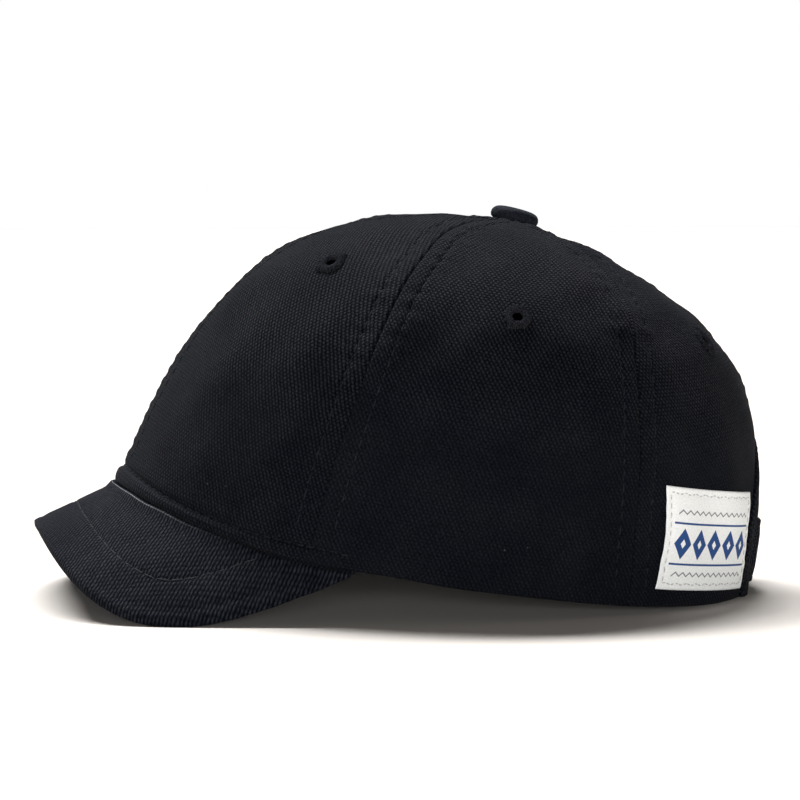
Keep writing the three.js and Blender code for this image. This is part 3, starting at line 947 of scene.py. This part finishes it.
def painted_root_highlight(material):
    """A thin pale line along the front of the brim's root: a painted highlight."""
    tree = material.node_tree
    calc = partial(maths, tree)
    flat = node(tree, "ShaderNodeTexCoord").outputs["UV"]
    scale = (1 / MM / RIM_HALF_WIDTH, 1 / MM / RIM_HALF_LENGTH / BRIM_STRETCH, 0)
    plan = node(tree, "ShaderNodeMapping", Vector=flat, Scale=scale).outputs[0]
    reach = node(tree, "ShaderNodeVectorMath", set_operation="LENGTH", Vector=plan).outputs["Value"]
    line = calc("COMPARE", reach, 1 + ROOT_HIGHLIGHT_REACH / RIM_HALF_LENGTH, ROOT_HIGHLIGHT_WIDTH / RIM_HALF_LENGTH / 2)
    front = calc("POWER", map_range(tree, coordinate(tree, plan, "Y"), ROOT_HIGHLIGHT_START, -1.0), 1.8)
    share = calc("MULTIPLY", calc("MULTIPLY", line, front), noise(tree, flat, 420.0, 2.0))
    cloth = tree.nodes["Principled BSDF"].inputs["Base Color"].links[0].from_socket
    # The pale colour mixed in here is a painted highlight.
    surface(tree, Base_Color=mix(tree, share, cloth, (0.2, 0.205, 0.22, 1)))
    return material


def brim_half(share):
    """Half the brim's thickness, which thins towards its ends."""
    ends = np.abs(share)
    thinned = 0.62 * smooth_step(ends, 0.6, 0.93)
    return BRIM_THICKNESS / 2 * (1 - thinned - 0.28 * smooth_step(ends, 0.92, 0.98))


def brim_lift(share, out):
    """How far the brim's ends are drawn up against the crown."""
    ends = smooth_step(np.abs(share), 0.74, 0.93)
    return rim_lift(share * BRIM_END_ANGLE) + 0.3 * ends * smooth_step(out, 0, 0.5)


def brim():
    columns, rows = 220, 46
    shares = BRIM_SPAN * np.linspace(-1, 1, columns)
    outs = np.concatenate([[-1, -0.5], np.linspace(0, 1, rows) ** 0.85])
    out, share = np.meshgrid(outs, shares, indexing="ij")
    points, normals = brim_top(share, out), brim_normal(share, out)
    inset = edge_distance(points)
    inset[-1] = 0
    half = brim_half(share)
    roll = np.sqrt(np.clip(1 - (1 - np.clip(inset / (1.15 * half), 0, 1)) ** 2, 0.0, 1))
    reach = np.linalg.norm(brim_top(share, 1.0) - brim_top(share, 0.0), axis=-1)
    sewn = bump(np.abs(out - stitch_out(share)) * np.maximum(reach, 1), 0.8) * (np.abs(share) < 0.775)
    lip = -0.22 * bump(inset - 3.1, 0.9)
    swell = (1.35 - 0.5 * np.abs(share)) * bump(out * reach - 1.9, 1.4)
    tucked = 0.26 + np.where(out > 0, swell, 0)
    inside = smooth_step(inset, 0, 6)
    top = half * roll + lip - 0.34 * sewn + tucked + 0.16 * ripple(points, 12) * inside
    under = -half * roll + 0.3 * sewn - lip - 0.12 * ripple(points + 40, 12) * inside
    middle = points - normals * half[..., None]
    middle[..., 2] += brim_lift(share, out)
    both = np.stack([middle + normals * top[..., None], middle + normals * under[..., None]])
    uv = np.stack([points[..., :2] * np.array([1, BRIM_STRETCH])] * 2) * MM
    faces = shell_faces(share.shape)
    piece = piece_from("brim_cloth", to_rest(both), [face[::-1] for face in faces], uv)
    # The brim cloth's tone is raised above the crown's, partly as painted light in place of light bounced
    # onto it.
    cloth = painted_root_highlight(twill("brim twill", 140, rib=1.21, tone=1.36, depth=1.12, bead=0.27))
    finish_piece(piece, cloth)
    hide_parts("brim")
    spread = np.linspace(-BRIM_STITCH_END, BRIM_STITCH_END, 700)
    at = np.maximum(stitch_out(spread), 0.0)
    normal = brim_normal(spread, at)
    path = brim_top(spread, at) - 0.05 * normal
    below = brim_top(spread, at) - normal * (2 * brim_half(spread) - 0.25)[:, None]
    for line in (path, below):
        line[..., 2] += brim_lift(spread, at)
    parts = stitches(path, normal, pitch=4.5, length=4.3, thick=0.2)
    parts += stitches(below, -normal, pitch=4.6, length=4.2, thick=0.22)
    thread_piece("brim_stitches", parts, brim_thread)


brim()


# button
# Radius and height of the rings it is drawn up from
BUTTON_RINGS = [(2.4, -1.3), (2.5, 0.0), (4.5, 0.05), (6.7, 0.15), (7.55, 0.9), (7.8, 2.0), (7.5, 3.2),
                (6.6, 4.05), (5.2, 4.45), (3.2, 4.66), (1.3, 4.72)]
BUTTON_SUNK = 0.55


def button():
    """Cloth-covered button: a disc drawn up ring by ring, then rounded."""
    apex = np.array([0, APEX_SETBACK, CROWN_HEIGHT])
    angles = np.array([90.0, -90.0, 180.0, 0.0])
    ring = crown_point(angles, up_at_radius(angles, 7.6))
    axis = unit(np.cross(ring[0] - ring[1], ring[2] - ring[3]))
    angles = np.arange(0, 360, 15.0)
    seat = max((crown_point(angles, up_at_radius(angles, 7.0)) - apex) @ axis) - BUTTON_SUNK
    bpy.ops.object.select_all(action="DESELECT")
    radius, height = BUTTON_RINGS[0]
    bpy.ops.mesh.primitive_circle_add(vertices=40, radius=radius * MM, fill_type="NGON",
                                      location=(0, 0, height * MM))
    piece = bpy.context.object
    piece.name = "covered_button"
    bpy.ops.object.transform_apply(location=True)
    edit_all()
    for (last, low), (radius, height) in zip(BUTTON_RINGS, BUTTON_RINGS[1:]):
        bpy.ops.mesh.extrude_region_move(TRANSFORM_OT_translate={"value": (0, 0, (height - low) * MM)})
        bpy.ops.transform.resize(value=(radius / last, radius / last, 1), center_override=(0, 0, 0))
    face_outward()
    rounding = piece.modifiers.new("rounding", "SUBSURF")
    rounding.levels = rounding.render_levels = 2
    bpy.ops.object.modifier_apply(modifier=rounding.name)
    turn = Vector((0, 0, 1)).rotation_difference(Vector(axis)).to_matrix()
    points = own_points(piece)
    radius = np.hypot(points[:, 0], points[:, 1])
    around = np.arctan2(points[:, 1], points[:, 0])
    skirt = smooth_step(radius, 5.8, 7.4) * smooth_step(points[:, 2], 0, 1.2)
    skirt = skirt * (1 - smooth_step(points[:, 2], 2.2, 3.6))
    gathered = 0.03 * np.sin(around * 17 + 1.3 * np.sin(around * 3)) * skirt
    points[:, :2] *= (1 + gathered / np.maximum(radius, 1))[:, None]
    points[:, 2] += 0.1 * np.sin(points[:, 0] * 0.9 + 0.6) * smooth_step(points[:, 2], 2.5, 4)
    place_points(piece, points @ np.array(turn).T + apex + axis * seat)
    # The button's tone, well above the crown cloth's, is partly painted light on its top.
    cloth = twill("button twill", 12, rib=0.7, from_object=(0.5, 0), tone=2.4, depth=0.08)
    finish_piece(piece, cloth)
    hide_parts("top_button")


button()


# hem round the opening
# Its section: distance outside the opening's edge and height over the crown
HEM_SECTION = [
    (-0.35, -0.7), (-0.3, 0.2), (-0.05, 0.95), (0.5, 1.3), (1.3, 1.25), (1.8, 1.0), (2.3, 1.25),
    (3.4, 1.4), (4.7, 1.35), (5.3, 1.2), (5.7, 0.98), (6.1, 1.15), (6.7, 1.1), (7.0, 0.8),
    (7.1, 0.4), (6.9, 0.05), (4.5, 0.0), (1.0, -0.1), (0.3, -0.5), (0.3, -1.75), (1.2, -1.85),
    (2.6, -1.8), (2.7, -2.1), (1.4, -2.4), (0.3, -2.35), (-0.2, -1.8), (-0.35, -1.2),
]
# Length of cloth for each radian round the opening
HEM_PER_RADIAN = 36


def arch_path(turn, outward):
    """Point of the crown's back at a turn (0 to pi) round the opening and a distance outside its edge."""
    base = rim_point(180.0)[2]
    x, z = ARCH_HALF_WIDTH * np.cos(turn), ARCH_HEIGHT * np.sin(turn)
    nx, nz = ARCH_HEIGHT * np.cos(turn), ARCH_HALF_WIDTH * np.sin(turn)
    size = np.hypot(nx, nz)
    return find_on_back(x + nx / size * outward, base + z + nz / size * outward)


def opening_hem():
    turns = np.linspace(-0.015, math.pi + 0.015, 150)
    widths, outs = np.array(HEM_SECTION).T
    turn, width = np.meshgrid(turns, widths, indexing="ij")
    angle, up = arch_path(turn, width)
    points = on_crown(angle, up, outs + 0.12 * ripple(crown_point(angle, up), 10, 30))
    piece = band_piece("opening_binding", HEM_SECTION, points, turns * HEM_PER_RADIAN, turned=True)
    finish_piece(piece, twill("hem twill", 52, tone=1.15))
    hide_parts("opening_hem")
    parts = []
    line = np.linspace(0.05, math.pi - 0.05, 300)
    for width_at, out_at, begin in ((1.8, 1.05, 0.3), (5.7, 1.02, 1.4)):
        angle, up = arch_path(line, np.full(300, width_at))
        path = on_crown(angle, up, out_at + 0.12 * ripple(crown_point(angle, up), 10, 30))
        parts += stitches(path, crown_frame(angle, up)[2], start=begin, **FINE_ROW)
    thread_piece("binding_stitches", parts, black_thread)


opening_hem()


# strap and slide
STRAP_TOP = STRAP_LIFT + STRAP_HEIGHT
# Angle from the back at which the strap goes in behind the hem
STRAP_TUCK = math.degrees(math.asin(
    ARCH_HALF_WIDTH * math.sqrt(1 - (STRAP_TOP / ARCH_HEIGHT) ** 2) / RIM_HALF_WIDTH))
# Its section: height over its lower edge and distance from its inner face
STRAP_SECTION = [
    (0, 0.5), (0.12, 0.15), (0.5, 0.0), (10, 0.0), (19.5, 0.0), (19.88, 0.15), (20, 0.5), (20, 1.3),
    (19.85, 1.65), (19.4, 1.8), (18.4, 1.72), (17.9, 1.5), (17.4, 1.72), (15, 1.85), (12, 1.8),
    (8, 1.8), (5, 1.85), (2.6, 1.72), (2.1, 1.5), (1.6, 1.72), (0.6, 1.8), (0.15, 1.65), (0, 1.3),
]
STRAP_ROWS = (2.1, 17.9)
# Length of cloth for each degree round the crown
STRAP_PER_DEGREE = 1.75
SLIDE_SIZE = (8.0, 23.2, 5.0)
SLIDE_WALL = 1.25
SLIDE_ROUNDING = 0.45


def strap_out(angle, height=10.0):
    """How far the strap's inner face lies outside the crown, at a height above its lower edge."""
    tucked = smooth_step(np.abs(angle - 180), 0.62 * STRAP_TUCK, STRAP_TUCK)
    lean = -0.5 - 1.1 * (1 - np.clip(np.asarray(height) / STRAP_HEIGHT, 0, 1)) ** 2 * (1 - tucked)
    return STRAP_BULGE + lean - (STRAP_BULGE + WALL + 0.1 + STRAP_THICKNESS) * tucked


def strap():
    angles = np.linspace(180 - STRAP_END_ANGLE, 180 + STRAP_END_ANGLE, 130)
    heights, outs = np.array(STRAP_SECTION, float).T
    angle, height = np.meshgrid(angles, heights, indexing="ij")
    up = up_at_height(angle, STRAP_LIFT + height)
    wavy = 0.1 * np.sin(np.radians(angle) * 22) * (1 - smooth_step(np.abs(angle - 180), 14, 20))
    points = on_crown(angle, up, strap_out(angle, height) + outs + wavy)
    piece = band_piece("strap_cloth", STRAP_SECTION, points, (angles - 180) * STRAP_PER_DEGREE)
    finish_piece(piece, twill("strap twill", 60, tone=1.7))
    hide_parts("back_strap")
    parts = []
    for height_at in STRAP_ROWS:
        line = np.linspace(180 - STRAP_TUCK - 1, 180 + STRAP_TUCK + 1, 260)
        line = line[np.abs(line - SLIDE_ANGLE) > 3.3]
        for part in np.split(line, np.flatnonzero(np.diff(line) > 2) + 1):
            up = up_at_height(part, np.full(part.shape, STRAP_LIFT + height_at))
            path = on_crown(part, up, strap_out(part, height_at) + 1.5)
            parts += stitches(path, crown_frame(part, up)[2], **FINE_ROW)
    thread_piece("strap_stitches", parts, black_thread)


def slide():
    """Sleeve-like slide: a block opened at both ends, given its wall and softened edges."""
    angle = np.array(float(SLIDE_ANGLE))
    up = up_at_height(angle, np.array(STRAP_LIFT + STRAP_HEIGHT / 2))
    around, climb, normal = crown_frame(angle, up)
    centre = crown_point(angle, up) + normal * (strap_out(angle) + STRAP_THICKNESS / 2)
    bpy.ops.object.select_all(action="DESELECT")
    bpy.ops.mesh.primitive_cube_add(size=1)
    piece = bpy.context.object
    piece.name = "strap_slider"
    edit_all()
    bpy.ops.mesh.select_mode(type="FACE")
    bpy.ops.transform.resize(value=[size * MM for size in SLIDE_SIZE])
    bpy.ops.mesh.select_all(action="DESELECT")
    bpy.ops.object.mode_set(mode="OBJECT")
    for face in piece.data.polygons:
        face.select = abs(face.normal.x) > 0.9
    bpy.ops.object.mode_set(mode="EDIT")
    bpy.ops.mesh.delete(type="ONLY_FACE")
    bpy.ops.mesh.select_all(action="SELECT")
    bpy.ops.mesh.subdivide(number_cuts=2)
    bpy.ops.object.mode_set(mode="OBJECT")
    wall = piece.modifiers.new("wall", "SOLIDIFY")
    wall.thickness, wall.offset, wall.use_even_offset = SLIDE_WALL * MM, -1, True
    edges = piece.modifiers.new("edges", "BEVEL")
    edges.width, edges.segments, edges.limit_method = SLIDE_ROUNDING * MM, 3, "ANGLE"
    for modifier in ("wall", "edges"):
        bpy.ops.object.modifier_apply(modifier=modifier)
    place_points(piece, own_points(piece) @ np.stack([around, climb, normal]) + centre)
    face_outward()
    finish_piece(piece, painted_metal())
    bpy.context.view_layer.objects.active = piece
    bpy.ops.object.shade_smooth_by_angle(angle=math.radians(35))
    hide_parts("strap_slide")


strap()
slide()


# label
LABEL_WIDTH = 47.0
DIAMOND_PITCH = 8.2
DIAMOND_MIDDLE = 14.5
DIAMOND_HALF_WIDTH = 3.7
DIAMOND_HALF_HEIGHT = 4.9
LINE_HEIGHTS = (8.1, 20.9)
ZIGZAG_HEIGHTS = (23.8, 4.4)
ZIGZAG_PITCH = 3.1


def label_material():
    """Off-white woven label: fine damask weave with navy diamonds between lines and grey zigzags."""
    material, tree, place = new_material("woven label")
    calc = partial(maths, tree)
    flat = node(tree, "ShaderNodeMapping", Vector=place["UV"], Scale=(1 / MM,) * 3).outputs[0]
    x, y = coordinate(tree, flat, "X"), coordinate(tree, flat, "Y")

    def band(value, middle, half):
        return calc("LESS_THAN", calc("ABSOLUTE", calc("SUBTRACT", value, middle)), half)

    def repeat(value, pitch):
        return calc("ABSOLUTE", calc("SUBTRACT", calc("FRACT", calc("DIVIDE", value, pitch)), 0.5))

    rise = calc("ABSOLUTE", calc("SUBTRACT", y, DIAMOND_MIDDLE))
    shifted = calc("ADD", x, DIAMOND_PITCH * 4.5 - LABEL_WIDTH / 2)
    step = calc("MULTIPLY", repeat(shifted, DIAMOND_PITCH), DIAMOND_PITCH)
    sideways = calc("DIVIDE", step, DIAMOND_HALF_WIDTH)
    diamond = calc("ADD", sideways, calc("DIVIDE", rise, DIAMOND_HALF_HEIGHT))
    solid = calc("LESS_THAN", diamond, 1.0)
    eye = calc("LESS_THAN", diamond, 0.3)
    inside = band(x, LABEL_WIDTH / 2, 20.5)
    navy = calc("MULTIPLY", calc("SUBTRACT", solid, eye), inside)
    line = calc("ADD", *(band(y, at, 0.32) for at in LINE_HEIGHTS))
    navy = calc("MAXIMUM", navy, calc("MULTIPLY", line, inside))
    chevron = calc("SUBTRACT", y, calc("MULTIPLY", repeat(x, ZIGZAG_PITCH), 2.4))
    small = calc("ADD", *(band(chevron, at, 0.28) for at in ZIGZAG_HEIGHTS))
    grey = calc("MULTIPLY", small, band(x, LABEL_WIDTH / 2, 19.0))
    warp = calc("SINE", calc("MULTIPLY", x, 2 * math.pi / 0.42))
    weft = calc("SINE", calc("MULTIPLY", y, 2 * math.pi / 0.3))
    weave = calc("MULTIPLY_ADD", calc("MULTIPLY", warp, weft), 0.5, 0.5)
    fuzz = calc("MULTIPLY_ADD", noise(tree, flat, 1.6, 3.0), 0.7, calc("MULTIPLY", weave, 0.4))
    ground = ramp(tree, fuzz, [(0.2, (0.62, 0.63, 0.62)), (0.7, (0.88, 0.89, 0.88))])
    inked = mix(tree, calc("MULTIPLY", grey, 0.8), ground, (0.07, 0.075, 0.095, 1))
    blue = mix(tree, navy, inked, (0.017, 0.06, 0.2, 1))
    high = calc("MULTIPLY_ADD", calc("MAXIMUM", navy, grey), 0.7, weave)
    surface(tree, high, 0.4, 0.00012, Base_Color=blue, Roughness=0.85, Specular_IOR_Level=0.25)
    return material


def label_place(x, y):
    """Angle and share of a point of the label from its lower front corner, in millimetres."""
    share = x / LABEL_WIDTH
    angle = LABEL_START + share * (LABEL_END - LABEL_START)
    side = 0.9 * np.sin(np.clip(y / LABEL_HEIGHT, 0, 1) * np.pi * 1.2 - 0.4) * (1 - share) ** 2
    angle = angle + (side - 0.3) * 0.62 * (1 - share) + 2.2 * share * (y / LABEL_HEIGHT)
    return angle, up_at_height(angle, 3.7 + 2.0 * (1 - share) + y * (0.972 - 0.045 * share))


def label():
    columns, rows = 96, 66
    xs, ys = np.linspace(0, LABEL_WIDTH, columns), np.linspace(0, LABEL_HEIGHT, rows)
    y, x = np.meshgrid(ys, xs, indexing="ij")
    angle, up = label_place(x, y)
    rim_gap = np.minimum(np.minimum(x, LABEL_WIDTH - x), np.minimum(y, LABEL_HEIGHT - y))
    base = crown_relief(angle, up) + 0.12
    sewn = -0.18 * bump(rim_gap - 2.1, 0.6)
    uneven = 0.4 + 0.6 * np.sin(x * 0.8 + y * 0.63) ** 2
    lift = 0.22 * bump(rim_gap, 0.8) * uneven + 0.1 * ripple(crown_point(angle, up), 10, 30)
    top = base + 0.62 + sewn + lift - 0.28 * bump(rim_gap, 0.25)
    under = base + 0.1 + lift * 0.8 + 0.15 * bump(rim_gap, 0.25)
    both = np.stack([on_crown(angle, up, top), on_crown(angle, up, under)])
    uv = np.stack([np.stack([x, y], -1)] * 2) * MM
    piece = piece_from("woven_label", to_rest(both), shell_faces(x.shape), uv)
    finish_piece(piece, label_material())
    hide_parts("side_label")
    low, high, left, right = 1.9, LABEL_HEIGHT - 2.0, 1.7, LABEL_WIDTH - 1.8
    t = np.linspace(0, 1, 120)
    across, upward = left + (right - left) * t, low + (high - low) * t
    wander = 0.25 * np.sin(t * 60)
    rows = [(across, low + wander, 1.9), (across, high + wander, 1.9),
            (np.full(120, left), upward, 2.7), (np.full(120, right), upward, 2.7)]
    parts = []
    for line_x, line_y, pitch in rows:
        angle, up = label_place(line_x, line_y)
        path = on_crown(angle, up, crown_relief(angle, up) + 0.6)
        length = pitch * 0.72
        parts += stitches(path, crown_frame(angle, up)[2], pitch=pitch, length=length, thick=0.2, lift=0.13)
    thread_piece("label_stitches", parts, thread("label thread", (0.3, 0.3, 0.3), (0.62, 0.62, 0.6)))


label()


# stage, light and camera
def stage():
    bpy.ops.object.select_all(action="DESELECT")
    bpy.ops.mesh.primitive_grid_add(x_subdivisions=12, y_subdivisions=12, size=16)
    floor = bpy.context.object
    floor.name = "pale_floor"
    material, tree, place = new_material("pale floor")
    grain = noise(tree, place["Object"], 6.0, 2.0)
    colour = ramp(tree, grain, [(0.3, (0.45, 0.425, 0.4)), (0.7, (0.47, 0.445, 0.42))])
    surface(tree, Base_Color=colour, Roughness=0.9, Specular_IOR_Level=0.1)
    floor.data.materials.append(material)

    world = bpy.data.worlds.new("studio")
    world.use_nodes = True
    tree = world.node_tree
    rise = coordinate(tree, node(tree, "ShaderNodeTexCoord").outputs["Generated"], "Z")
    glow = ramp(tree, maths(tree, "ABSOLUTE", rise), [(0.12, (1, 1, 1)), (0.17, (0.096, 0.092, 0.088))])
    tree.links.new(glow, tree.nodes["Background"].inputs["Color"])
    tree.nodes["Background"].inputs["Strength"].default_value = 1.0
    bpy.context.scene.world = world
    bpy.context.scene.view_settings.view_transform = "Standard"

    def lamp(name, kind, energy, location, target, **settings):
        light = bpy.data.lights.new(name, kind)
        light.energy = energy
        for key, value in settings.items():
            setattr(light, key, value)
        made = bpy.data.objects.new(name, light)
        made.location = location
        direction = Vector(target) - Vector(location)
        made.rotation_euler = direction.to_track_quat("-Z", "Y").to_euler()
        bpy.context.collection.objects.link(made)

    for name, lean in (("fore", -0.45), ("middle", -0.18), ("rear", 0.1)):
        lamp(f"overhead {name}", "SUN", 3.5, (-0.62, lean, 1), (0, 0, 0), angle=math.radians(15))
    lamp("fill", "AREA", 34, (2.2, -0.3, 0.3), (0, 0, 0.06), shape="RECTANGLE", size=1.6, size_y=0.4)


def camera():
    data = bpy.data.cameras.new("view")
    data.lens = 142.2
    data.sensor_width = 36
    data.clip_start, data.clip_end = 0.05, 40
    made = bpy.data.objects.new("view", data)
    azimuth, elevation = math.radians(80), math.radians(3.9)
    level = math.cos(elevation)
    back = Vector((math.sin(azimuth) * level, -math.cos(azimuth) * level, math.sin(elevation)))
    made.location = Vector((0, -0.0012, 0.0605)) + back
    made.rotation_euler = (-back).to_track_quat("-Z", "Y").to_euler()
    bpy.context.collection.objects.link(made)
    bpy.context.scene.camera = made


stage()
camera()
